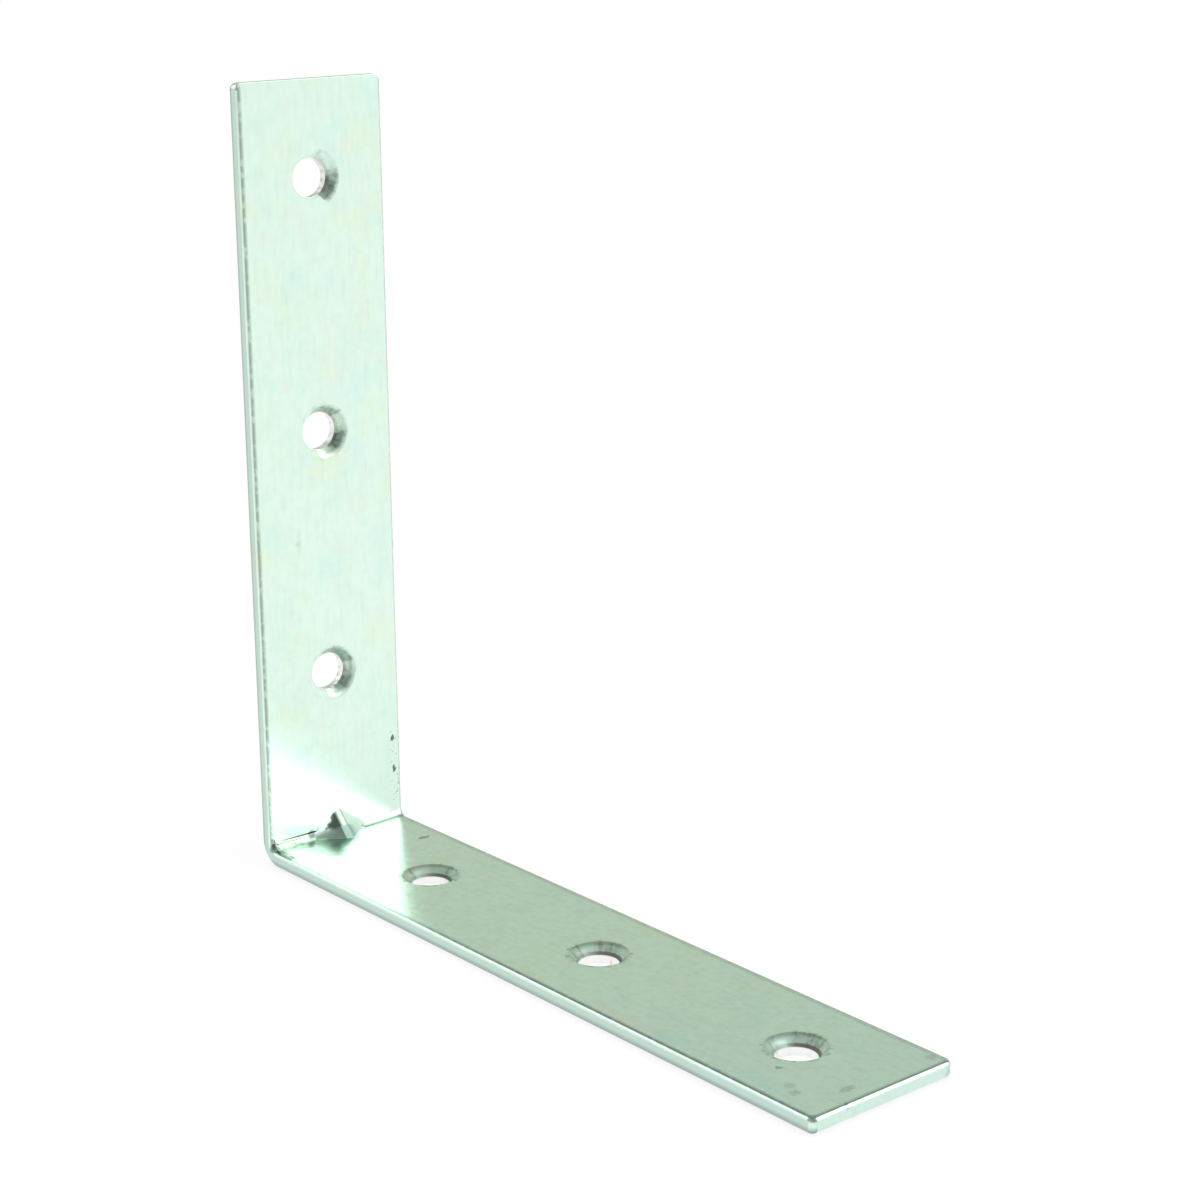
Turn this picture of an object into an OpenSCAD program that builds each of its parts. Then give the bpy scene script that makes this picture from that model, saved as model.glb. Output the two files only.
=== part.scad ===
// Angle bracket: one steel strip folded square, with a gusset pressed into the fold
// and a row of countersunk screw holes in each leg.
// Origin: the outer corner of the fold, half way across the strip. The foot lies along +X on Z = 0,
// the upright stands along +Z on X = 0, and the strip's width runs along Y.

/* [Strip] */
// Height of the upright, from the underside of the foot to its top end
upright_l = 98.9; // [60:0.5:160]
// Length of the foot, from the back of the upright to its far end
foot_l = 100.6; // [60:0.5:160]
// Width of the strip
strip_w = 20.9; // [14:0.5:40]
// Thickness of the strip
strip_t = 2.2; // [2:0.1:3.5]
// Radius of the corners at the end of each leg
corner_r = 0.9; // [0.9:0.1:6]
// Rounding of the strip's edges and ends
edge_r = 0.8; // [0.1:0.05:0.85]

/* [Fold] */
// Inside radius of the fold
fold_r = 1; // [0.3:0.1:3]

/* [Gusset] */
// Reach of the gusset along each leg, from the inside crease to its ridge before rounding
gusset_reach = 3.4; // [2.5:0.1:8]
// Width of the gusset where it meets the crease
gusset_w = 9.4; // [5:0.2:13]
// Rounding of the gusset's ridge, inside the angle
ridge_r = 0.8; // [0.3:0.1:1.6]
// Rounding at the bottom of the matching dent, outside the angle
dent_r = 0.5; // [0.2:0.1:1.2]

/* [Screw holes] */
// Holes in each leg
hole_count = 3; // [2:1:5]
// Diameter of the holes
hole_d = 4.8; // [3:0.1:6]
// Diameter of the countersinks at the inner faces
sink_d = 7.2; // [6.2:0.1:8]
// Full angle of the countersinks
sink_angle = 90; // [75:1:120]
// Height of the upright's lowest hole above the underside of the foot
upright_first = 23.9; // [14:0.1:32]
// Distance of the upright's highest hole from its top end
upright_last = 12; // [6:0.1:20]
// Distance of the foot's first hole from the back of the upright
foot_first = 22.3; // [14:0.1:32]
// Distance of the foot's last hole from its far end
foot_last = 13; // [6:0.1:20]

/* [Hidden] */
$fn = 96;
// Cuts run past the faces they open by this much
past = 1;
// Radius of the fold's outer face
fold_outer_r = fold_r + strip_t;
// Hole-to-hole distance in each leg
upright_pitch = (upright_l - upright_first - upright_last) / (hole_count - 1);
foot_pitch = (foot_l - foot_first - foot_last) / (hole_count - 1);
// Depth of a countersink below the inner face
sink_depth = (sink_d - hole_d) / 2 / tan(sink_angle / 2);
// Height of the sharp ridge above the inside crease, and the slope of the flanks either side of it
ridge_h = gusset_reach / sqrt(2);
flank_angle = atan(gusset_w / 2 / ridge_h);
// Height of the dent's bottom above the inside crease: the flanks lie one strip thickness apart
dent_h = ridge_h - strip_t / sin(flank_angle);
// Length of the gusset's ridge, long enough to run out through both legs
ridge_l = 2 * (gusset_reach + 2 * strip_t);

// Section of a piece of strip that runs from x = 0 to one rounded edge at x = reach
module edge_section(reach) {
    square([reach - edge_r, strip_t]);
    translate([0, edge_r]) square([reach, strip_t - 2 * edge_r]);
    intersection() {
        for (y = [edge_r, strip_t - edge_r]) translate([reach - edge_r, y]) circle(edge_r);
        translate([0, -past]) square([reach + past, strip_t + 2 * past]);
    }
}

// Full section across the strip, width along x and thickness along y
module strip_section() {
    edge_section(strip_w / 2);
    mirror([1, 0]) edge_section(strip_w / 2);
}

// Flat leg along +X from the end of the fold, outer face down, with a rounded end
module leg(l) {
    inset_l = l - corner_r;
    inset_w = strip_w / 2 - corner_r;
    translate([fold_outer_r, 0, 0]) rotate([90, 0, 90])
        linear_extrude(inset_l - fold_outer_r) strip_section();
    translate([inset_l, inset_w, 0]) rotate([90, 0, 0])
        linear_extrude(2 * inset_w) edge_section(corner_r);
    translate([inset_l, inset_w, 0]) rotate_extrude(angle = 90) edge_section(corner_r);
    translate([inset_l, -inset_w, 0]) rotate([0, 0, -90])
        rotate_extrude(angle = 90) edge_section(corner_r);
}

// Quarter turn of strip that joins the two legs
module fold() {
    translate([fold_outer_r, 0, fold_outer_r]) rotate([90, 180, 0])
        rotate_extrude(angle = 90) translate([fold_r, 0]) rotate(-90) strip_section();
}

// Wedge with a rounded ridge that crosses the fold at 45 degrees; h is the height of its
// sharp ridge above the inside crease, and foot_h how far below the crease it starts
module ridge_wedge(h, nose_r, foot_h) {
    nose_x = h - nose_r / sin(flank_angle);
    touch_x = nose_x + nose_r * sin(flank_angle);
    touch_y = nose_r * cos(flank_angle);
    foot_y = (h + foot_h) * tan(flank_angle);
    translate([strip_t, 0, strip_t]) rotate([0, -45, 0]) linear_extrude(ridge_l, center = true) {
        polygon([[-foot_h, -foot_y], [touch_x, -touch_y], [touch_x, touch_y], [-foot_h, foot_y]]);
        translate([nose_x, 0]) circle(nose_r);
    }
}

// Raised side of the gusset, kept inside the outer half of the strip's thickness
module gusset() {
    intersection() {
        ridge_wedge(ridge_h, ridge_r, strip_t / 2);
        translate([strip_t / 2, -strip_w / 2, strip_t / 2]) cube([foot_l, strip_w, upright_l]);
    }
}

// Screw hole through a leg that lies outer face down, with its countersink in the inner face
module screw_hole() {
    translate([0, 0, -past]) cylinder(h = strip_t + 2 * past, d = hole_d);
    translate([0, 0, strip_t - sink_depth])
        cylinder(h = sink_depth + past, d1 = hole_d, d2 = sink_d + 2 * past * tan(sink_angle / 2));
}

// Row of screw holes along a leg
module hole_row(first, pitch) {
    for (i = [0 : hole_count - 1]) translate([first + i * pitch, 0, 0]) screw_hole();
}

module bracket() {
    color([0.84, 0.88, 0.85])
    difference() {
        union() {
            fold();
            leg(foot_l);
            mirror([1, 0, -1]) leg(upright_l);
            gusset();
        }
        ridge_wedge(dent_h, dent_r, 2 * strip_t + past);
        hole_row(foot_first, foot_pitch);
        mirror([1, 0, -1]) hole_row(upright_first, upright_pitch);
    }
}

bracket();
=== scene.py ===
import math
import bpy
from mathutils import Matrix, Vector


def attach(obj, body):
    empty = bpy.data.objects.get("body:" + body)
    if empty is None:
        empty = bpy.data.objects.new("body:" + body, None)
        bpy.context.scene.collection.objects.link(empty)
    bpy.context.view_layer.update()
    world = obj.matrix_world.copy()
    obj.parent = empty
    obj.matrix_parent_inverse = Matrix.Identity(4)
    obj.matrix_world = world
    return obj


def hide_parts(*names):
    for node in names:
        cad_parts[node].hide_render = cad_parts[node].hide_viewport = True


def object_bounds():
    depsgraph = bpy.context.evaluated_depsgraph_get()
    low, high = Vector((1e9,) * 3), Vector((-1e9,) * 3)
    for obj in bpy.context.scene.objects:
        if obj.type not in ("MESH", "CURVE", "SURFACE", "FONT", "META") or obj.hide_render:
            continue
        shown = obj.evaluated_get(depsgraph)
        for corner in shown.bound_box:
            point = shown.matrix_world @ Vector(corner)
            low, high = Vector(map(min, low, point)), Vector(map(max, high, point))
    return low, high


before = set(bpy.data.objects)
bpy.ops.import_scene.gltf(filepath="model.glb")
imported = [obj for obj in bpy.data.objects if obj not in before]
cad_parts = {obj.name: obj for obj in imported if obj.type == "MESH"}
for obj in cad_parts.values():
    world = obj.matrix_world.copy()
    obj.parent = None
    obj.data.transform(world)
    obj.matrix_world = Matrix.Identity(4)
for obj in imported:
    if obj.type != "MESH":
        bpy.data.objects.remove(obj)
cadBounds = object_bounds()
print("frame loaded")

# Camera: the photograph's own viewpoint, aimed at the middle of the angle
shot = {
    "aim": (0.050, 0.0, 0.050),
    "azimuth": 49.987,       # degrees round from looking along +Y
    "elevation": 15.737,     # degrees above the horizon
    "roll": -0.466,
    "distance": 0.293396,
    "right": 0.003687,       # sideways and upward steps that frame the bracket
    "up": -0.006112,
    "focalPixels": 2617.2,
    "imagePixels": 1200,
    "sensorWidth": 36.0,     # millimetres
    "clip": (0.01, 50.0),
}


def makeCamera():
    az, el, roll = (math.radians(shot[k]) for k in ("azimuth", "elevation", "roll"))
    back = Vector((math.sin(az) * math.cos(el), -math.cos(az) * math.cos(el), math.sin(el)))
    level = Vector((math.cos(az), math.sin(az), 0.0))
    rise = back.cross(level)
    right = level * math.cos(roll) + rise * math.sin(roll)
    up = rise * math.cos(roll) - level * math.sin(roll)
    place = Vector(shot["aim"]) + back * shot["distance"] + right * shot["right"] + up * shot["up"]
    turn = Matrix((right, up, back)).transposed().to_4x4()
    bpy.ops.object.camera_add()
    cam = bpy.context.object
    cam.name = "viewCamera"
    cam.matrix_world = Matrix.Translation(place) @ turn
    cam.data.sensor_width = shot["sensorWidth"]
    cam.data.lens = shot["focalPixels"] / shot["imagePixels"] * cam.data.sensor_width
    cam.data.clip_start, cam.data.clip_end = shot["clip"]
    bpy.context.scene.camera = cam


makeCamera()
print("camera placed")


# Small helpers for node trees: a plain value is set on a socket, an output is linked to it
def feed(tree, value, slot):
    if isinstance(value, (int, float, tuple, Vector)):
        slot.default_value = value
    else:
        tree.links.new(value, slot)


def mathNode(tree, operation, *values):
    node = tree.nodes.new("ShaderNodeMath")
    node.operation = operation
    for value, slot in zip(values, node.inputs):
        feed(tree, value, slot)
    return node.outputs[0]


def vectorNode(tree, operation, *values):
    node = tree.nodes.new("ShaderNodeVectorMath")
    node.operation = operation
    for value, slot in zip(values, node.inputs):
        feed(tree, value, slot)
    return node


def product(tree, first, *others):
    for other in others:
        first = mathNode(tree, "MULTIPLY", first, other)
    return first


def greatest(tree, first, *others):
    for other in others:
        first = mathNode(tree, "MAXIMUM", first, other)
    return first


def oneMinus(tree, value):
    return mathNode(tree, "SUBTRACT", 1.0, value)


# A smooth step from one value to another as the input goes from low to high
def rangeNode(tree, value, low, high, outLow=0.0, outHigh=1.0):
    node = tree.nodes.new("ShaderNodeMapRange")
    node.interpolation_type = "SMOOTHSTEP"
    feed(tree, value, node.inputs["Value"])
    limits = {"From Min": low, "From Max": high, "To Min": outLow, "To Max": outHigh}
    for name, limit in limits.items():
        node.inputs[name].default_value = limit
    return node.outputs["Result"]


# Full up to low, and falling to 0 at high
def fallNode(tree, value, low, high, full=1.0):
    return rangeNode(tree, value, low, high, full, 0.0)


# 1 within half of the centre, falling to 0 over the fade
def bandNode(tree, value, centre, half, fade):
    away = mathNode(tree, "ABSOLUTE", mathNode(tree, "SUBTRACT", value, centre))
    return fallNode(tree, away, half, half + fade)


# Squared distance from a mark's middle, as a share of its reach each way
def ovalNode(tree, *ways):
    squares = []
    for value, middle, reach in ways:
        away = mathNode(tree, "DIVIDE", mathNode(tree, "SUBTRACT", value, middle), reach)
        squares.append(product(tree, away, away))
    return mathNode(tree, "ADD", *squares)


# Places of the factor, the two inputs and the result among a Mix node's sockets
mixSockets = {"RGBA": (0, 6, 7, 2), "VECTOR": (0, 4, 5, 1)}


def mixNode(tree, kind, share, a, b, blend="MIX"):
    node = tree.nodes.new("ShaderNodeMix")
    node.data_type = kind
    node.blend_type = blend
    *places, result = mixSockets[kind]
    for value, place in zip((share, a, b), places):
        feed(tree, value, node.inputs[place])
    return node.outputs[result]


def mixColour(tree, share, a, b, blend="MIX"):
    return mixNode(tree, "RGBA", share, a, b, blend)


def mixShaders(tree, share, first, second, outputKind):
    mix = tree.nodes.new("ShaderNodeMixShader")
    for value, slot in zip((share, first.outputs[0], second.outputs[0]), mix.inputs):
        feed(tree, value, slot)
    out = tree.nodes.new(outputKind)
    feed(tree, mix.outputs[0], out.inputs["Surface"])


def combine(tree, x, y, z):
    node = tree.nodes.new("ShaderNodeCombineXYZ")
    for value, slot in zip((x, y, z), node.inputs):
        feed(tree, value, slot)
    return node.outputs[0]


# Detail of each kind of noise, and the span that most of its values lie in
noiseDetail = {"soft": 2.0, "fine": 3.0, "streaky": 4.0}
noiseSpan = (0.3, 0.7)


def noiseNode(tree, vector, scale, kind="fine"):
    node = tree.nodes.new("ShaderNodeTexNoise")
    feed(tree, vector, node.inputs["Vector"])
    node.inputs["Scale"].default_value = scale
    node.inputs["Detail"].default_value = noiseDetail[kind]
    return node.outputs[0]


# Studio: a pale table, white to the eye, in a room whose bright and dim sides the metal mirrors
white = (1.0, 1.0, 1.0, 1.0)
studio = {
    "floorSize": 12.0,
    "floorGlow": 0.88,            # share of the floor's white that shadows don't reach
    "shadowCentre": (0.05, 0.0, 0.0),
    "shadowReach": (0.12, 0.24),  # metres from there over which the floor turns pure white
    "floorColour": (0.80, 0.80, 0.80, 1.0),
    "roomColour": (0.40, 0.42, 0.40, 1.0),
    "lobes": [
        # what, towards, degrees of its even middle, degrees to its edge, brightness
        ("wallBack", (-0.74, 0.61, 0.27), 34, 56, (0.555, 0.590, 0.515)),
        ("darkCorner", (0.68, -0.40, 0.61), 12, 20, (0.15, 0.16, 0.15)),
        ("darkFront", (0.85, -0.50, 0.02), 20, 44, (0.20, 0.21, 0.20)),
        ("windowLeft", (-0.74, -0.50, 0.44), 18, 26, (1.55, 1.50, 1.58)),
        ("sillLeft", (-0.74, -0.66, 0.08), 12, 22, (1.00, 1.00, 1.02)),
        ("windowRight", (0.70, 0.59, 0.41), 15, 25, (2.60, 2.60, 2.60)),
        ("windowHigh", (0.30, 0.62, 0.72), 14, 28, (1.60, 1.60, 1.62)),
        ("ceiling", (-0.06, -0.16, 0.98), 10, 22, (0.80, 0.80, 0.78)),
        ("tableEdge", (0.38, 0.92, 0.08), 14, 26, (1.20, 1.20, 1.20)),
    ],
    "lamp": "overhead",
    "lampPlace": (0.05, 0.05, 1.20),
    "lampAim": (0.05, 0.0, 0.0),
    "lampSize": 0.9,
    "lampWatts": 12.0,
}


def makeFloor():
    bpy.ops.object.select_all(action="DESELECT")
    bpy.ops.mesh.primitive_plane_add(size=studio["floorSize"], location=(0.0, 0.0, 0.0))
    floor = bpy.context.object
    floor.name = "floor"
    mat = bpy.data.materials.new("paleFloor")
    mat.use_nodes = True
    tree = mat.node_tree
    tree.nodes.clear()
    diffuse = tree.nodes.new("ShaderNodeBsdfDiffuse")
    diffuse.inputs["Color"].default_value = studio["floorColour"]
    glow = tree.nodes.new("ShaderNodeEmission")
    glow.inputs["Color"].default_value = white
    path = tree.nodes.new("ShaderNodeLightPath")
    seen = greatest(tree, *(path.outputs[f"Is {ray} Ray"] for ray in ("Camera", "Glossy", "Transmission")))
    coord = tree.nodes.new("ShaderNodeTexCoord")
    away = vectorNode(tree, "DISTANCE", coord.outputs["Object"], studio["shadowCentre"])
    steady = rangeNode(tree, away.outputs["Value"], *studio["shadowReach"], studio["floorGlow"], 1.0)
    mixShaders(tree, product(tree, seen, steady), diffuse, glow, "ShaderNodeOutputMaterial")
    floor.data.materials.append(mat)


def makeWorld():
    world = bpy.data.worlds.new("studioWorld")
    bpy.context.scene.world = world
    world.use_nodes = True
    tree = world.node_tree
    tree.nodes.clear()
    coord = tree.nodes.new("ShaderNodeTexCoord")
    colour = studio["roomColour"]
    for name, towards, middle, edge, glow in studio["lobes"]:
        dot = vectorNode(tree, "DOT_PRODUCT", coord.outputs["Generated"], Vector(towards).normalized())
        dot.label = name
        edgeCosine, middleCosine = (math.cos(math.radians(angle)) for angle in (edge, middle))
        share = rangeNode(tree, dot.outputs["Value"], edgeCosine, middleCosine)
        colour = mixColour(tree, share, colour, (*glow, 1.0))
    room = tree.nodes.new("ShaderNodeBackground")
    feed(tree, colour, room.inputs["Color"])
    backdrop = tree.nodes.new("ShaderNodeBackground")
    backdrop.inputs["Color"].default_value = white
    path = tree.nodes.new("ShaderNodeLightPath")
    mixShaders(tree, path.outputs["Is Camera Ray"], room, backdrop, "ShaderNodeOutputWorld")


def makeLamp():
    bpy.ops.object.light_add(type="AREA", location=studio["lampPlace"])
    lamp = bpy.context.object
    lamp.name = studio["lamp"]
    lamp.data.shape = "SQUARE"
    lamp.data.size = studio["lampSize"]
    lamp.data.energy = studio["lampWatts"]
    down = Vector(studio["lampAim"]) - Vector(studio["lampPlace"])
    lamp.rotation_euler = down.to_track_quat("-Z", "Y").to_euler()
    lamp.visible_glossy = False


makeFloor()
makeWorld()
makeLamp()
bpy.context.scene.view_settings.view_transform = "Standard"
print("studio built")


# Sizes of the bracket that the dressing needs, in metres. Both legs are read the same way:
# along the leg, across it, and the depth up from its outer face
farCorner = cadBounds[1]
form = {
    "halfWidth": farCorner.y,
    "thick": 0.0022,
    "uprightEnd": farCorner.z,
    "footEnd": farCorner.x,
    "holeCount": 3,
    "uprightHoles": (0.0239, 0.0120),   # the first hole from the corner, the last from the leg's end
    "footHoles": (0.0223, 0.0130),
    "boreRadius": 0.0024,
    "sinkRadius": 0.0036,
    "inner": (0.80, 0.90),              # shares of the thickness between which the inner side begins
}
# A right-angled countersink is as deep as it is wider than the bore
form["boreTop"] = form["thick"] - (form["sinkRadius"] - form["boreRadius"])


# Distance from each hole of a leg to the next
def holeStep(end, first, last):
    return (end - first - last) / (form["holeCount"] - 1)


# The bracket's own piece: the CAD solid with the outline of its gusset softened
body = {
    "mergeDistance": 0.000002,
    "sliverMerge": 0.00001,      # closes the slivers that the bevels leave
    "flatAngle": 0.6,            # degrees under which neighbouring facets are one face
    "sharpAngle": 26.0,          # degrees above which an edge is broken
    "gussetAbove": 0.9,          # of the thickness: the gusset's outline lies above this
    "gussetReach": 0.0076,       # and within this of the corner
    "gussetSpread": 0.0056,
    "gussetSoften": 0.0004,
    "edgeBreak": 0.0002,         # at most; close to other edges the bevel stops at almost nothing
    "steps": 3,
    "smoothAngle": 34.0,
    "flatWeight": 100,
}


def mendMesh(distance):
    bpy.ops.mesh.select_all(action="SELECT")
    bpy.ops.mesh.remove_doubles(threshold=distance)
    bpy.ops.mesh.normals_make_consistent(inside=False)


# Sharp edges of the raised gusset, inside the angle, are left selected
def keepGussetEdges(mesh):
    for edge in mesh.edges:
        ends = [mesh.vertices[i].co for i in edge.vertices]
        inside = all(min(p.x, p.z) > form["thick"] * body["gussetAbove"] and
                     max(p.x, p.z) < body["gussetReach"] and
                     abs(p.y) < body["gussetSpread"] for p in ends)
        edge.select = edge.select and inside


def breakEdges(piece, width, gussetOnly):
    bpy.ops.object.mode_set(mode="EDIT")
    bpy.ops.mesh.select_all(action="DESELECT")
    bpy.ops.mesh.edges_select_sharp(sharpness=math.radians(body["sharpAngle"]))
    if gussetOnly:
        bpy.ops.object.mode_set(mode="OBJECT")
        keepGussetEdges(piece.data)
        bpy.ops.object.mode_set(mode="EDIT")
    bpy.ops.mesh.bevel(offset=width, segments=body["steps"], clamp_overlap=True)
    mendMesh(body["mergeDistance"])
    bpy.ops.object.mode_set(mode="OBJECT")


def makeBody():
    bpy.ops.object.select_all(action="DESELECT")
    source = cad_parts["bracket"]
    source.select_set(True)
    bpy.context.view_layer.objects.active = source
    bpy.ops.object.duplicate()
    piece = bpy.context.object
    piece.name = "bracketBody"
    bpy.ops.object.transform_apply(location=True, rotation=True, scale=True)
    bpy.ops.object.mode_set(mode="EDIT")
    bpy.ops.mesh.select_mode(type="EDGE")
    mendMesh(body["mergeDistance"])
    bpy.ops.mesh.dissolve_limited(angle_limit=math.radians(body["flatAngle"]))
    bpy.ops.object.mode_set(mode="OBJECT")
    breakEdges(piece, body["gussetSoften"], True)
    breakEdges(piece, body["edgeBreak"], False)
    bpy.ops.object.mode_set(mode="EDIT")
    mendMesh(body["sliverMerge"])
    bpy.ops.object.mode_set(mode="OBJECT")
    bpy.ops.object.shade_smooth_by_angle(angle=math.radians(body["smoothAngle"]))
    bpy.ops.object.modifier_add(type="WEIGHTED_NORMAL")
    flatter = piece.modifiers[-1]
    flatter.mode = "FACE_AREA"
    flatter.weight = body["flatWeight"]
    flatter.keep_sharp = True
    bpy.ops.object.modifier_apply(modifier=flatter.name)
    return piece


bracket = makeBody()
print("body made:", len(bracket.data.polygons), "faces")


# One of two values, by the leg that the place is on
def byLeg(tree, at, upright, foot):
    return mathNode(tree, "ADD", product(tree, at["upright"], upright), product(tree, at["foot"], foot))


# Where a point of the surface lies on its leg, and how far from the nearest hole's axis
def readPlace(tree):
    coord = tree.nodes.new("ShaderNodeTexCoord")
    apart = tree.nodes.new("ShaderNodeSeparateXYZ")
    feed(tree, coord.outputs["Object"], apart.inputs[0])
    x, y, z = apart.outputs
    at = {"point": coord.outputs["Object"], "x": x, "z": z, "across": y}
    at["side"] = mathNode(tree, "ABSOLUTE", y)
    at["along"] = mathNode(tree, "MAXIMUM", x, z)
    at["depth"] = mathNode(tree, "MINIMUM", x, z)
    at["upright"] = mathNode(tree, "GREATER_THAN", z, x)
    at["foot"] = oneMinus(tree, at["upright"])
    at["up"] = mathNode(tree, "SUBTRACT", z, x)
    at["inner"] = rangeNode(tree, at["depth"], *(form["thick"] * share for share in form["inner"]))
    offsets = []
    for leg in ("upright", "foot"):
        first, last = form[leg + "Holes"]
        step = holeStep(form[leg + "End"], first, last)
        fromFirst = mathNode(tree, "SUBTRACT", at["along"], first)
        offsets.append(mathNode(tree, "WRAP", fromFirst, step / 2, -step / 2))
    offset = byLeg(tree, at, *offsets)
    squares = mathNode(tree, "ADD", product(tree, offset, offset), product(tree, y, y))
    at["holeRadius"] = mathNode(tree, "SQRT", squares)
    at["turnAlong"] = mathNode(tree, "DIVIDE", offset, at["holeRadius"])
    at["turnAcross"] = mathNode(tree, "DIVIDE", y, at["holeRadius"])
    return at


# Bright zinc plate: a soft mirror with a green cast, faint mottling and rolled grain, and painted shade low
# on the upright
plate = {
    "colour": (0.785, 0.975, 0.860, 1.0),
    "roughness": (0.20, 0.27),
    "roughPatches": 420.0,           # per metre
    "mottles": {
        # tint, patches per metre, strength
        "straw": ((0.81, 0.95, 0.74, 1.0), 170.0, 0.75),
        "cyan": ((0.70, 0.94, 0.86, 1.0), 230.0, 0.70),
        "rose": ((0.81, 0.91, 0.82, 1.0), 310.0, 0.55),
    },
    "mottleSpan": (0.50, 0.74),      # of the noise, from bare to full
    "grainScale": (260.0, 1500.0),   # per metre, along and across the leg
    "grainSpan": (0.45, 0.80),
    "grainTint": (0.90, 0.92, 0.90, 1.0),
    "grainAmount": 0.50,
    "speckle": 1100.0,
    "speckleSpan": (0.42, 0.70),
    "speckleTint": (0.66, 0.87, 0.74, 1.0),
    "speckleUpright": 0.16,
    "speckleFoot": 0.44,
    "footEndTint": (0.71, 0.94, 0.88, 1.0),  # cooler towards the foot's end
    "footEndFrom": (0.045, 0.100),
    "footEndAmount": 0.45,
    "lowShadeTint": (0.715, 0.925, 0.800, 1.0),   # painted shade on the upright, darker near the fold and the far side
    "lowUp": (0.005, 0.024),
    "lowAcross": (-0.002, 0.009),
    "lowAmount": 0.90,
}


def addMottlesAndShade(tree, at, colour):
    for tint, scale, amount in plate["mottles"].values():
        noise = noiseNode(tree, at["point"], scale, "soft")
        colour = mixColour(tree, rangeNode(tree, noise, *plate["mottleSpan"], 0.0, amount), colour, tint)
    towardsEnd = product(tree, rangeNode(tree, at["x"], *plate["footEndFrom"]), at["foot"],
                         plate["footEndAmount"])
    colour = mixColour(tree, towardsEnd, colour, plate["footEndTint"])
    # Painted shade: the upright darker near the fold and towards its far side
    low = product(tree, fallNode(tree, at["z"], *plate["lowUp"]), at["upright"],
                  rangeNode(tree, at["across"], *plate["lowAcross"]), plate["lowAmount"])
    colour = mixColour(tree, low, colour, plate["lowShadeTint"])
    speckle = rangeNode(tree, noiseNode(tree, at["point"], plate["speckle"], "soft"), *plate["speckleSpan"])
    speckle = product(tree, speckle, byLeg(tree, at, plate["speckleUpright"], plate["speckleFoot"]))
    colour = mixColour(tree, speckle, colour, plate["speckleTint"])
    alongScale, acrossScale = plate["grainScale"]
    stretched = combine(tree, product(tree, at["along"], alongScale),
                        product(tree, at["across"], acrossScale), product(tree, at["depth"], acrossScale))
    grain = rangeNode(tree, noiseNode(tree, stretched, 1.0), *plate["grainSpan"], 0.0, plate["grainAmount"])
    return mixColour(tree, grain, colour, plate["grainTint"], "MULTIPLY")


# Edges: a tight turn outside a flat margin, a painted dark hairline of shade at the turn, painted shade along
# the far sides and low on the edges, duller sheared faces.
# A pair of distances is where an effect starts and where it is full, in from the strip's side
# or end unless its note says otherwise
edgeWearAndShade = {
    "turn": 0.00020,                  # where the edge turns
    "turnFade": 0.00005,
    "topTurn": (0.00002, 0.00005),    # closer to the end at the upright's top
    "marginDepth": (0.72, 0.80),      # where the flat margin begins, in shares of the thickness,
    "marginAlong": (0.0034, 0.0037),  # and along the leg
    "lineGaps": 900.0,                   # per metre, and their span of the noise
    "lineGapSpan": (0.35, 0.55),
    "lineGapLeast": 0.55,                # share of a painted line that is left in its gaps
    # The painted hairlines of shade at the turn, broken by gaps
    "shadeLineColour": (0.25, 0.31, 0.265, 1.0),
    "lineFade": (0.00008, 0.00046),   # towards the side, and in over the margin
    "lineFoot": 0.58,
    "lineNearFold": 0.15,
    "lineGrows": (0.024, 0.058),      # along the foot
    "lineUpright": 0.80,
    "lineEnd": 0.28,
    "farShadeColour": (0.36, 0.38, 0.36, 1.0),
    # Painted lines of shade along the far sides
    "far": [
        # leg, where the far side's line starts and is full, and its share
        ("foot", 0.0015, 0.0010, 0.36),
        ("upright", 0.0006, 0.0004, 0.45),
    ],
    "farStop": (0.00015, 0.00004),    # where the far side's line ends
    # Painted shade low on the edges, near the outer face
    "underShadeColour": (0.27, 0.335, 0.32, 1.0),
    "underDepth": (0.0003, 0.0012),   # up from the outer face, painted shade to none
    "underFrom": (0.0009, 0.0007),
    "underAmount": 0.92,
    "faceTint": (0.52, 0.67, 0.60, 1.0),
    "faceFrom": (0.00007, 0.00001),
    "faceAmount": 0.85,
    "endFaceFrom": (0.00012, 0.00004),
    "endFaceAmount": 0.30,
}


# Masks of what lies close to the strip's sides, or to the foot's end
def nearSides(tree, at, start, full):
    return rangeNode(tree, at["side"], form["halfWidth"] - start, form["halfWidth"] - full)


def nearFootEnd(tree, at, start, full):
    return rangeNode(tree, at["x"], form["footEnd"] - start, form["footEnd"] - full)


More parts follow.
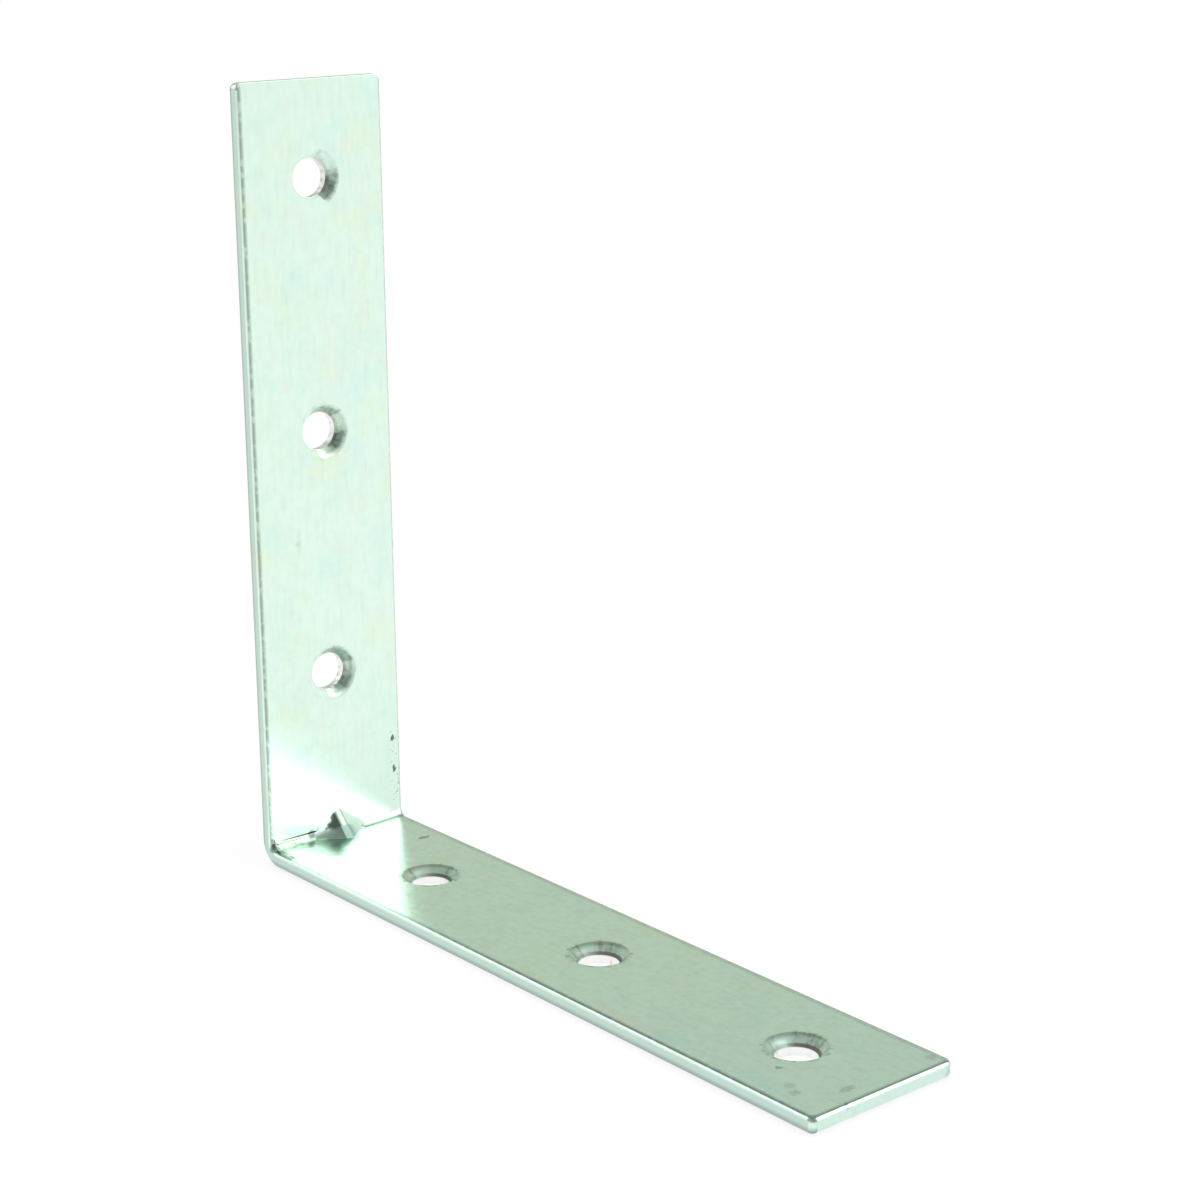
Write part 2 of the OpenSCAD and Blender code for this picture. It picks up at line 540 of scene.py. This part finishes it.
def addEdgeWearAndShade(tree, at, colour):
    shadeAndWear = edgeWearAndShade
    lineGaps = noiseNode(tree, at["point"], shadeAndWear["lineGaps"])
    lineGaps = rangeNode(tree, lineGaps, *shadeAndWear["lineGapSpan"], shadeAndWear["lineGapLeast"], 1.0)
    sideFace = product(tree, nearSides(tree, at, *shadeAndWear["faceFrom"]), shadeAndWear["faceAmount"])
    endFace = product(tree, nearFootEnd(tree, at, *shadeAndWear["endFaceFrom"]), shadeAndWear["endFaceAmount"])
    for face in (sideFace, endFace):
        colour = mixColour(tree, face, colour, shadeAndWear["faceTint"])
    # Painted shade low on the edges, near the outer face
    under = product(tree, fallNode(tree, at["depth"], *shadeAndWear["underDepth"]),
                    nearSides(tree, at, *shadeAndWear["underFrom"]), shadeAndWear["underAmount"])
    colour = mixColour(tree, under, colour, shadeAndWear["underShadeColour"])
    # Painted dark hairlines of shade at the turn, along the near side and at the foot's end
    turn = shadeAndWear["turn"]
    outFade, inFade = shadeAndWear["lineFade"]
    share = rangeNode(tree, at["x"], *shadeAndWear["lineGrows"], shadeAndWear["lineNearFold"], shadeAndWear["lineFoot"])
    share = greatest(tree, share, product(tree, at["upright"], shadeAndWear["lineUpright"]))
    fromSide = mathNode(tree, "ADD", at["across"], form["halfWidth"])
    fromEnd = mathNode(tree, "SUBTRACT", form["footEnd"], at["along"])
    for away, amount in ((fromSide, share), (fromEnd, product(tree, at["foot"], shadeAndWear["lineEnd"]))):
        line = product(tree, rangeNode(tree, away, turn - outFade, turn), at["inner"], lineGaps, amount,
                       fallNode(tree, away, turn + outFade, turn + inFade))
        colour = mixColour(tree, line, colour, shadeAndWear["shadeLineColour"])
    # Painted lines of shade along the far sides of both legs
    for leg, start, full, share in shadeAndWear["far"]:
        far = rangeNode(tree, at["across"], form["halfWidth"] - start, form["halfWidth"] - full)
        far = product(tree, far, lineGaps, at[leg], share, oneMinus(tree, nearSides(tree, at, *shadeAndWear["farStop"])))
        colour = mixColour(tree, far, colour, shadeAndWear["farShadeColour"])
    return colour


# Countersinks, cut with a tool: rougher than the faces, streaked, worn soft on the side away from
# the shade, tinted darker (the cut's own colour, with painted shade kept off a painted highlight), with a
# dark patch of painted shade, bores painted near white as a painted highlight and a painted dark ring of
# shade round them. Directions are along and across the leg, seen from the hole's axis
sinks = {
    # The cut's own duller colour, and painted shade: kept off the side towards the gleam
    "tint": (0.46, 0.54, 0.45, 1.0),
    "amountUpright": 0.12,
    "amountFoot": 0.42,
    "roughness": 0.40,
    "margin": (0.0002, 0.0005),      # beyond the countersink's rim, where its effects end
    "boreMargin": (0.0003, 0.0004),
    "boreFade": 0.00005,
    "shadeUpright": (0.20, 0.98),    # towards the dark side of the cones
    "shadeFoot": (-0.77, 0.63),
    "flatFrom": (-0.45, 0.12),       # of the cosine from the shade, where the worn side ends
    "flatShare": 0.85,
    "topFlatFrom": (0.27, 0.33),     # the top hole is worn further round
    "topHole": (0.074, 0.078),
    "topSoftFrom": (0.15, 0.85),     # and softer towards its top
    "topSoft": 0.55,
    "lowHole": (0.030, 0.034),       # the lowest hole's cone is brighter beside the bore
    "lowSoftBand": (0.05, 0.15, 0.25),
    "lowSoft": 0.38,
    "flatFoot": 0.42,
    "flatRim": (0.00335, 0.00380),   # from the hole's axis
    "patch": (-0.42, 0.91),          # towards the darkest patch of painted shade
    "patchFrom": (0.80, 0.94),
    "patchGrit": (0.35, 0.60, 0.6, 1.0),   # span of the grit, and the patch's least and full share
    "patchShadeColour": (0.10, 0.14, 0.10, 1.0),
    "patchUpright": 0.34,
    "patchFoot": 0.15,
    "gleam": (-0.96, 0.26),          # towards a painted highlight: the part left bright, without the tint and streaks
    "gleamFrom": (0.90, 0.985),
    "grit": 1600.0,                  # per metre
    "streakColour": (0.20, 0.25, 0.20, 1.0),
    "streaks": 4.2,
    "streakTwist": 40.0,             # how fast the streaks change along the leg
    "streakShares": (0.6, 0.4),      # of the streaks and of the grit
    "streakSpan": (0.46, 0.64),
    "streakAmount": 0.55,
    # Bores painted near white: a painted highlight
    "boreHighlightColour": (0.97, 0.98, 0.97, 1.0),
    "boreRoughness": 0.34,
    # A painted dark ring of shade round the top of each bore
    "rimShadeColour": (0.20, 0.19, 0.17, 1.0),
    "rimBand": (0.00014, 0.00010, 0.00014),   # out from the bore: middle, half width, fade
    "rimRise": (-0.0001, 0.00002),            # from the top of the bore
    "rimShade": (0.0, 0.95, 0.25, 1.0),       # painted shade, fuller on the far side
    "rimUpright": 0.30,
    "rimFoot": 0.90,
}


def facing(tree, at, direction):
    along, across = direction
    parts = product(tree, at["turnAlong"], along), product(tree, at["turnAcross"], across)
    return mathNode(tree, "ADD", *parts)


# Masks of the cones, of the bores below them, and of how far a cone reads as flat as the leg
def sinkMasks(tree, at):
    fade = sinks["boreFade"]
    inside = fallNode(tree, at["holeRadius"], *(form["sinkRadius"] + m for m in sinks["margin"]))
    above = rangeNode(tree, at["depth"], form["boreTop"] - fade, form["boreTop"] + fade)
    wall = fallNode(tree, at["holeRadius"], *(form["boreRadius"] + m for m in sinks["boreMargin"]))
    bore = product(tree, wall, oneMinus(tree, above))
    cone = product(tree, inside, above)
    shade = byLeg(tree, at, *(facing(tree, at, sinks[key]) for key in ("shadeUpright", "shadeFoot")))
    atTop = rangeNode(tree, at["z"], *sinks["topHole"])
    worn = fallNode(tree, shade, *sinks["flatFrom"], sinks["flatShare"])
    topWorn = product(tree, fallNode(tree, shade, *sinks["topFlatFrom"]), atTop)
    topSoft = product(tree, rangeNode(tree, at["turnAlong"], *sinks["topSoftFrom"]), atTop, sinks["topSoft"])
    lowSoft = product(tree, bandNode(tree, at["turnAlong"], *sinks["lowSoftBand"]), at["upright"],
                      fallNode(tree, at["z"], *sinks["lowHole"], sinks["lowSoft"]))
    footSoft = product(tree, at["foot"], sinks["flatFoot"])
    rim = rangeNode(tree, at["holeRadius"], *sinks["flatRim"])
    flat = product(tree, greatest(tree, worn, topWorn, topSoft, lowSoft, footSoft, rim), cone)
    return cone, bore, flat


def addSinks(tree, at, colour, cone, bore, flat):
    seen = mathNode(tree, "SUBTRACT", cone, flat)
    # Tint: the cut's own duller colour and painted shade, kept off the painted highlight towards the gleam
    offGleam = fallNode(tree, facing(tree, at, sinks["gleam"]), *sinks["gleamFrom"])
    tinted = byLeg(tree, at, sinks["amountUpright"], sinks["amountFoot"])
    colour = mixColour(tree, product(tree, seen, offGleam, tinted), colour, sinks["tint"])
    twist = product(tree, at["along"], sinks["streakTwist"])
    around = combine(tree, at["turnAlong"], at["turnAcross"], twist)
    grit = noiseNode(tree, at["point"], sinks["grit"])
    streak = noiseNode(tree, around, sinks["streaks"], "streaky")
    streakShare, gritShare = sinks["streakShares"]
    streak = mathNode(tree, "ADD", product(tree, streak, streakShare), product(tree, grit, gritShare))
    streak = rangeNode(tree, streak, *sinks["streakSpan"], 0.0, sinks["streakAmount"])
    streaked = greatest(tree, seen, product(tree, cone, at["foot"]))
    colour = mixColour(tree, product(tree, streak, streaked, offGleam), colour, sinks["streakColour"])
    # A dark patch of painted shade on each cone
    patch = rangeNode(tree, facing(tree, at, sinks["patch"]), *sinks["patchFrom"])
    patch = product(tree, patch, byLeg(tree, at, sinks["patchUpright"], sinks["patchFoot"]), seen,
                    rangeNode(tree, grit, *sinks["patchGrit"]))
    colour = mixColour(tree, patch, colour, sinks["patchShadeColour"])
    # Bores painted near white: a painted highlight
    colour = mixColour(tree, bore, colour, sinks["boreHighlightColour"])
    # A painted dark ring of shade round the top of each bore
    out, half, fade = sinks["rimBand"]
    rim = product(tree, bandNode(tree, at["holeRadius"], form["boreRadius"] + out, half, fade),
                  rangeNode(tree, at["depth"], *(form["boreTop"] + rise for rise in sinks["rimRise"])),
                  rangeNode(tree, at["turnAcross"], *sinks["rimShade"]),
                  byLeg(tree, at, sinks["rimUpright"], sinks["rimFoot"]))
    return mixColour(tree, rim, colour, sinks["rimShadeColour"])


# Gusset and crease: a soft ridge, a painted dark reflection on the flank beside it, painted shade
# along the ridge and in the crease, dark patches where the crease meets the near side, and a painted
# reflection of the gusset on the foot. Up is z - x, which grows along the ridge. Three distances are a band's
# middle, half width and fade, and two are where an effect starts and ends
press = {
    "raised": (0.00002, 0.00010),           # the gusset stands this far above both inner faces
    "reach": (0.0060, 0.0064),              # and ends here along the legs
    "spread": (0.0, 0.0047, 0.0003),
    "roughness": 0.36,
    "ridge": (-0.00024, 0.00034, 0.00016),  # across the strip
    "blend": 0.85,                          # how far the near flank's upper part fades out
    "blendAcross": (-0.0008, -0.0003),
    "blendFacet": (0.0, 0.5),
    "blendUp": (-0.0006, 0.0008),
    # A painted line of shade along the ridge
    "ridgeLine": (0.00022, 0.00008, 0.00012),
    "ridgeLineUp": (0.0012, 0.0018, 0.0009),
    "ridgeShadeColour": (0.30, 0.40, 0.34, 1.0),
    "ridgeLineAmount": 0.75,
    # Noise that roughens the painted marks on the flanks
    "flankNoise": 900.0,
    "facetMiddle": 0.0005,                  # the painted dark triangle's middle and half height, up
    "facetHalf": 0.00290,
    "facetStart": 0.00050,                  # and its base and depth, across
    "facetDepth": 0.00190,
    "facetRagged": 0.14,
    "facetFade": (-0.05, 0.42),
    "facetEdge": (-0.00030, 0.00015),
    # Painted dark reflection, for the triangle and the spot
    "facetReflectionColour": (0.10, 0.14, 0.10, 1.0),
    "facetAmount": 0.90,
    "lowerShadeColour": (0.52, 0.78, 0.64, 1.0),  # painted shade on the near flank below the triangle
    "lowerUp": (-0.0012, 0.0002),
    "lowerAcross": (-0.0002, 0.0004),
    "lowerNoise": (0.30, 0.60),
    "lowerAmount": (0.55, 0.80),
    "spot": (-0.0042, 0.0006),              # middle of the painted dark spot of reflection, across and up
    "spotReach": (0.00055, 0.00075),
    "spotRagged": 0.3,
    "spotFade": (0.2, 1.4),
    "spotAlong": (0.0044, 0.0050),
    "spotAmount": 0.80,
    "crease": (0.00298, 0.00010, 0.00014),  # painted line of shade where the fold meets the foot
    "creaseRise": (0.0024, 0.0027),
    "creaseFar": (0.0005, 0.0030),          # even beyond the gusset, speckled on the near side
    "creaseNear": (-0.0040, -0.0055),
    "creaseSpeckle": 1500.0,
    "creaseSpan": (0.44, 0.60),
    "creaseNearAmount": 0.55,
    "creaseAmount": 0.55,
    "creaseShadeColour": (0.25, 0.36, 0.30, 1.0),
    "haze": 800.0,                          # on the foot, between the gusset and the near side
    "hazeSpan": (0.40, 0.62),
    "hazeAcross": (-0.0034, -0.0052),
    "hazeAlong": (0.0036, 0.0058),
    "hazeUp": (0.0, 0.0008),
    "hazeColour": (0.30, 0.44, 0.35, 1.0),
    "hazeAmount": 0.62,
    "cornerAcross": (-0.00980, 0.00028, 0.00030),  # dark patches where the crease meets the near side
    "cornerAlong": (0.0044, 0.0017, 0.0010),
    "cornerRise": (0.0030, 0.0036),
    "cornerPatches": 700.0,
    "cornerSpan": (0.36, 0.56),
    "cornerAmount": (0.35, 0.95),
    "cornerColour": (0.09, 0.14, 0.12, 1.0),
    "mirrorReflectionTint": (0.34, 0.48, 0.42, 1.0),  # painted reflection of the gusset on the foot, cloudy at its edges
    "mirrorClouds": 500.0,
    "mirrorRagged": (-0.25, 0.35),
    "mirrorFade": (0.10, 1.15),
    "mirrorUp": (-0.0005, 0.0),
    "mirrorAmount": 0.85,
    "mirrors": [
        # middle along the foot and across it, and reach each way
        (0.0066, -0.0048, 0.0036, 0.0032),
        (0.0048, -0.0014, 0.0024, 0.0034),
    ],
}


# Where the gusset stands above both inner faces
def gussetMask(tree, at):
    raised = rangeNode(tree, at["depth"], *(form["thick"] + rise for rise in press["raised"]))
    return product(tree, raised, fallNode(tree, at["along"], *press["reach"]),
                   bandNode(tree, at["across"], *press["spread"]))


# The dark triangle beside the ridge, on the near flank: a painted reflection
def facetMask(tree, at, gusset, flankNoise):
    fromMiddle = mathNode(tree, "ABSOLUTE", mathNode(tree, "SUBTRACT", at["up"], press["facetMiddle"]))
    inward = mathNode(tree, "SUBTRACT", product(tree, at["across"], -1.0), press["facetStart"])
    width = oneMinus(tree, mathNode(tree, "DIVIDE", fromMiddle, press["facetHalf"]))
    facet = mathNode(tree, "SUBTRACT", width, mathNode(tree, "DIVIDE", inward, press["facetDepth"]))
    ragged = rangeNode(tree, flankNoise, *noiseSpan, -press["facetRagged"], press["facetRagged"])
    facet = mathNode(tree, "ADD", facet, ragged)
    return product(tree, rangeNode(tree, facet, *press["facetFade"]),
                   rangeNode(tree, inward, *press["facetEdge"]), gusset)


def addGusset(tree, at, colour, gusset, facet, flankNoise):
    colour = mixColour(tree, product(tree, facet, press["facetAmount"]), colour, press["facetReflectionColour"])
    # Painted shade on the near flank below the triangle
    lower = product(tree, fallNode(tree, at["up"], *press["lowerUp"]), gusset,
                    fallNode(tree, at["across"], *press["lowerAcross"]),
                    rangeNode(tree, flankNoise, *press["lowerNoise"], *press["lowerAmount"]))
    colour = mixColour(tree, lower, colour, press["lowerShadeColour"])
    # A dark spot of painted reflection on the foot, inside the corner
    (across, up), (acrossReach, upReach) = press["spot"], press["spotReach"]
    away = ovalNode(tree, (at["across"], across, acrossReach), (at["up"], up, upReach))
    ragged = rangeNode(tree, flankNoise, *noiseSpan, -press["spotRagged"], press["spotRagged"])
    spot = product(tree, fallNode(tree, mathNode(tree, "ADD", away, ragged), *press["spotFade"],
                                  press["spotAmount"]),
                   at["inner"], fallNode(tree, at["along"], *press["spotAlong"]))
    colour = mixColour(tree, spot, colour, press["facetReflectionColour"])
    # A painted line of shade along the ridge
    line = product(tree, bandNode(tree, at["across"], *press["ridgeLine"]), gusset,
                   bandNode(tree, at["up"], *press["ridgeLineUp"]), press["ridgeLineAmount"])
    return mixColour(tree, line, colour, press["ridgeShadeColour"])


def addCrease(tree, at, colour):
    speckle = rangeNode(tree, noiseNode(tree, at["point"], press["creaseSpeckle"]), *press["creaseSpan"])
    farHalf = rangeNode(tree, at["across"], *press["creaseFar"])
    nearHalf = product(tree, rangeNode(tree, at["across"], *press["creaseNear"]), speckle,
                       press["creaseNearAmount"])
    # A painted line of shade in the crease
    crease = product(tree, bandNode(tree, at["x"], *press["crease"]), at["inner"],
                     fallNode(tree, at["z"], *press["creaseRise"]),
                     greatest(tree, farHalf, nearHalf), press["creaseAmount"])
    colour = mixColour(tree, crease, colour, press["creaseShadeColour"])
    haze = noiseNode(tree, at["point"], press["haze"])
    haze = product(tree, rangeNode(tree, haze, *press["hazeSpan"], 0.0, press["hazeAmount"]),
                   rangeNode(tree, at["across"], *press["hazeAcross"]), at["inner"],
                   fallNode(tree, at["along"], *press["hazeAlong"]),
                   fallNode(tree, at["up"], *press["hazeUp"]))
    colour = mixColour(tree, haze, colour, press["hazeColour"])
    patches = noiseNode(tree, at["point"], press["cornerPatches"])
    corner = product(tree, bandNode(tree, at["across"], *press["cornerAcross"]),
                     bandNode(tree, at["x"], *press["cornerAlong"]), at["inner"],
                     fallNode(tree, at["z"], *press["cornerRise"]),
                     rangeNode(tree, patches, *press["cornerSpan"], *press["cornerAmount"]))
    colour = mixColour(tree, corner, colour, press["cornerColour"])
    # Painted reflections of the gusset on the foot
    clouds = noiseNode(tree, at["point"], press["mirrorClouds"], "soft")
    clouds = rangeNode(tree, clouds, *noiseSpan, *press["mirrorRagged"])
    for middleX, middleY, reachX, reachY in press["mirrors"]:
        away = ovalNode(tree, (at["x"], middleX, reachX), (at["across"], middleY, reachY))
        away = mathNode(tree, "ADD", away, clouds)
        mirrored = product(tree, fallNode(tree, away, *press["mirrorFade"], press["mirrorAmount"]),
                        at["inner"], fallNode(tree, at["up"], *press["mirrorUp"]))
        colour = mixColour(tree, mirrored, colour, press["mirrorReflectionTint"])
    return colour


# Marks from handling
dark = (0.07, 0.09, 0.07, 1.0)
sheen = (0.52, 0.88, 0.95, 1.0)
marks = {
    # leg, along, across, half length, half width, share, colour
    "edgeNickUpper": ("upright", 0.01305, 0.00900, 0.00045, 0.00022, 0.90, dark),
    "edgeNickLower": ("upright", 0.00884, 0.00915, 0.00045, 0.00025, 0.90, dark),
    "faintStroke": ("upright", 0.0422, -0.0043, 0.0016, 0.00030, 0.06, dark),
    "faintDot": ("upright", 0.0416, -0.0046, 0.0004, 0.00040, 0.10, dark),
    "footScratch": ("foot", 0.0113, 0.0072, 0.00042, 0.00080, 0.60, dark),
    "fleck": ("foot", 0.0901, -0.0050, 0.00035, 0.00035, 0.55, dark),
    "smudgeEnd": ("foot", 0.0983, -0.0031, 0.00050, 0.00100, 0.28, dark),
    "smudgeSide": ("foot", 0.0953, -0.0078, 0.00060, 0.00070, 0.27, dark),
    "smudgeSmall": ("foot", 0.0937, -0.0070, 0.00060, 0.00060, 0.18, dark),
    "endNick": ("foot", 0.1004, -0.0054, 0.00035, 0.00022, 0.45, dark),
    "rustSpot": ("foot", 0.0988, 0.0088, 0.00055, 0.00055, 0.45, (0.50, 0.36, 0.30, 1.0)),
    "blueSheenOuter": ("foot", 0.0915, -0.0086, 0.0036, 0.00100, 0.24, sheen),
    "blueSheenInner": ("foot", 0.0775, -0.0088, 0.0030, 0.00090, 0.26, sheen),
    "roseSheen": ("foot", 0.0700, -0.0094, 0.0050, 0.00070, 0.30, (0.92, 0.78, 0.76, 1.0)),
}
handling = {
    "ragged": 2200.0,
    "raggedness": 0.75,
    "fade": (0.2, 1.7),
    "depth": (0.6, 0.8),          # shares of the thickness above which marks lie
    "specks": 1900.0,             # along the upright's far edge, near the fold
    "speckSpan": (0.58, 0.70),
    "speckAcross": (0.0080, 0.0092),
    "speckAlong": (0.0095, 0.0045, 0.0020),
    "speckAmount": 0.40,
}


def addMarks(tree, at, colour):
    ragged = noiseNode(tree, at["point"], handling["ragged"])
    ragged = rangeNode(tree, ragged, *noiseSpan, -handling["raggedness"], handling["raggedness"])
    onInside = rangeNode(tree, at["depth"], *(form["thick"] * share for share in handling["depth"]))
    for leg, along, across, halfLength, halfWidth, share, tint in marks.values():
        away = ovalNode(tree, (at["along"], along, halfLength), (at["across"], across, halfWidth))
        away = mathNode(tree, "ADD", away, ragged)
        mark = product(tree, fallNode(tree, away, *handling["fade"], share), at[leg], onInside)
        colour = mixColour(tree, mark, colour, tint)
    specks = noiseNode(tree, at["point"], handling["specks"], "soft")
    specks = product(tree, rangeNode(tree, specks, *handling["speckSpan"], 0.0, handling["speckAmount"]),
                     at["upright"], at["inner"], rangeNode(tree, at["across"], *handling["speckAcross"]),
                     bandNode(tree, at["along"], *handling["speckAlong"]))
    return mixColour(tree, specks, colour, dark)


# The flat margin inside each edge's tight turn, up to the ends of the legs
def marginMask(tree, at, gusset, cone):
    turn, fade = edgeWearAndShade["turn"], edgeWearAndShade["turnFade"]
    beforeSide = fallNode(tree, at["side"], form["halfWidth"] - turn - fade, form["halfWidth"] - turn)
    toEnd = mathNode(tree, "SUBTRACT", byLeg(tree, at, form["uprightEnd"], form["footEnd"]), at["along"])
    beforeEnd = greatest(tree, rangeNode(tree, toEnd, turn, turn + fade),
                         product(tree, at["upright"], rangeNode(tree, toEnd, *edgeWearAndShade["topTurn"])))
    depths = (form["thick"] * share for share in edgeWearAndShade["marginDepth"])
    return product(tree, beforeSide, beforeEnd, rangeNode(tree, at["depth"], *depths),
                   rangeNode(tree, at["along"], *edgeWearAndShade["marginAlong"]),
                   oneMinus(tree, gusset), oneMinus(tree, cone))


# Softer forms than the plain solid's: a round pressed ridge, worn cones, and flat margins up to
# the tight turn of each edge
def easeNormals(tree, at, gusset, facet, cone, flat):
    normal = tree.nodes.new("ShaderNodeNewGeometry").outputs["Normal"]
    legFace = combine(tree, at["upright"], 0.0, at["foot"])
    levelled = greatest(tree, marginMask(tree, at, gusset, cone), flat)
    normal = mixNode(tree, "VECTOR", levelled, normal, legFace)
    crest = product(tree, bandNode(tree, at["across"], *press["ridge"]), gusset)
    blend = product(tree, fallNode(tree, at["across"], *press["blendAcross"]), gusset,
                    fallNode(tree, facet, *press["blendFacet"], press["blend"]),
                    rangeNode(tree, at["up"], *press["blendUp"]))
    outOfCorner = Vector((1.0, 0.0, 1.0)).normalized()
    normal = mixNode(tree, "VECTOR", greatest(tree, crest, blend), normal, outOfCorner)
    return vectorNode(tree, "NORMALIZE", normal).outputs["Vector"]


def makePlate():
    mat = bpy.data.materials.new("brightZinc")
    mat.use_nodes = True
    tree = mat.node_tree
    shader = tree.nodes["Principled BSDF"]
    at = readPlace(tree)
    cone, bore, flat = sinkMasks(tree, at)
    gusset = gussetMask(tree, at)
    flankNoise = noiseNode(tree, at["point"], press["flankNoise"])
    facet = facetMask(tree, at, gusset, flankNoise)
    colour = addMottlesAndShade(tree, at, plate["colour"])
    colour = addEdgeWearAndShade(tree, at, colour)
    colour = addSinks(tree, at, colour, cone, bore, flat)
    colour = addGusset(tree, at, colour, gusset, facet, flankNoise)
    colour = addCrease(tree, at, colour)
    colour = addMarks(tree, at, colour)
    smoothest = plate["roughness"][0]
    rough = noiseNode(tree, at["point"], plate["roughPatches"])
    rough = rangeNode(tree, rough, *noiseSpan, *plate["roughness"])
    cut = mathNode(tree, "SUBTRACT", cone, flat)
    rougher = ((cut, sinks["roughness"]), (bore, sinks["boreRoughness"]), (gusset, press["roughness"]))
    for mask, roughness in rougher:
        rough = mathNode(tree, "ADD", rough, product(tree, mask, roughness - smoothest))
    shader.inputs["Metallic"].default_value = 1.0
    feed(tree, colour, shader.inputs["Base Color"])
    feed(tree, rough, shader.inputs["Roughness"])
    feed(tree, easeNormals(tree, at, gusset, facet, cone, flat), shader.inputs["Normal"])
    return mat


bracket.data.materials.clear()
bracket.data.materials.append(makePlate())
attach(bracket, "root")
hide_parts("bracket")
print("bracket dressed")
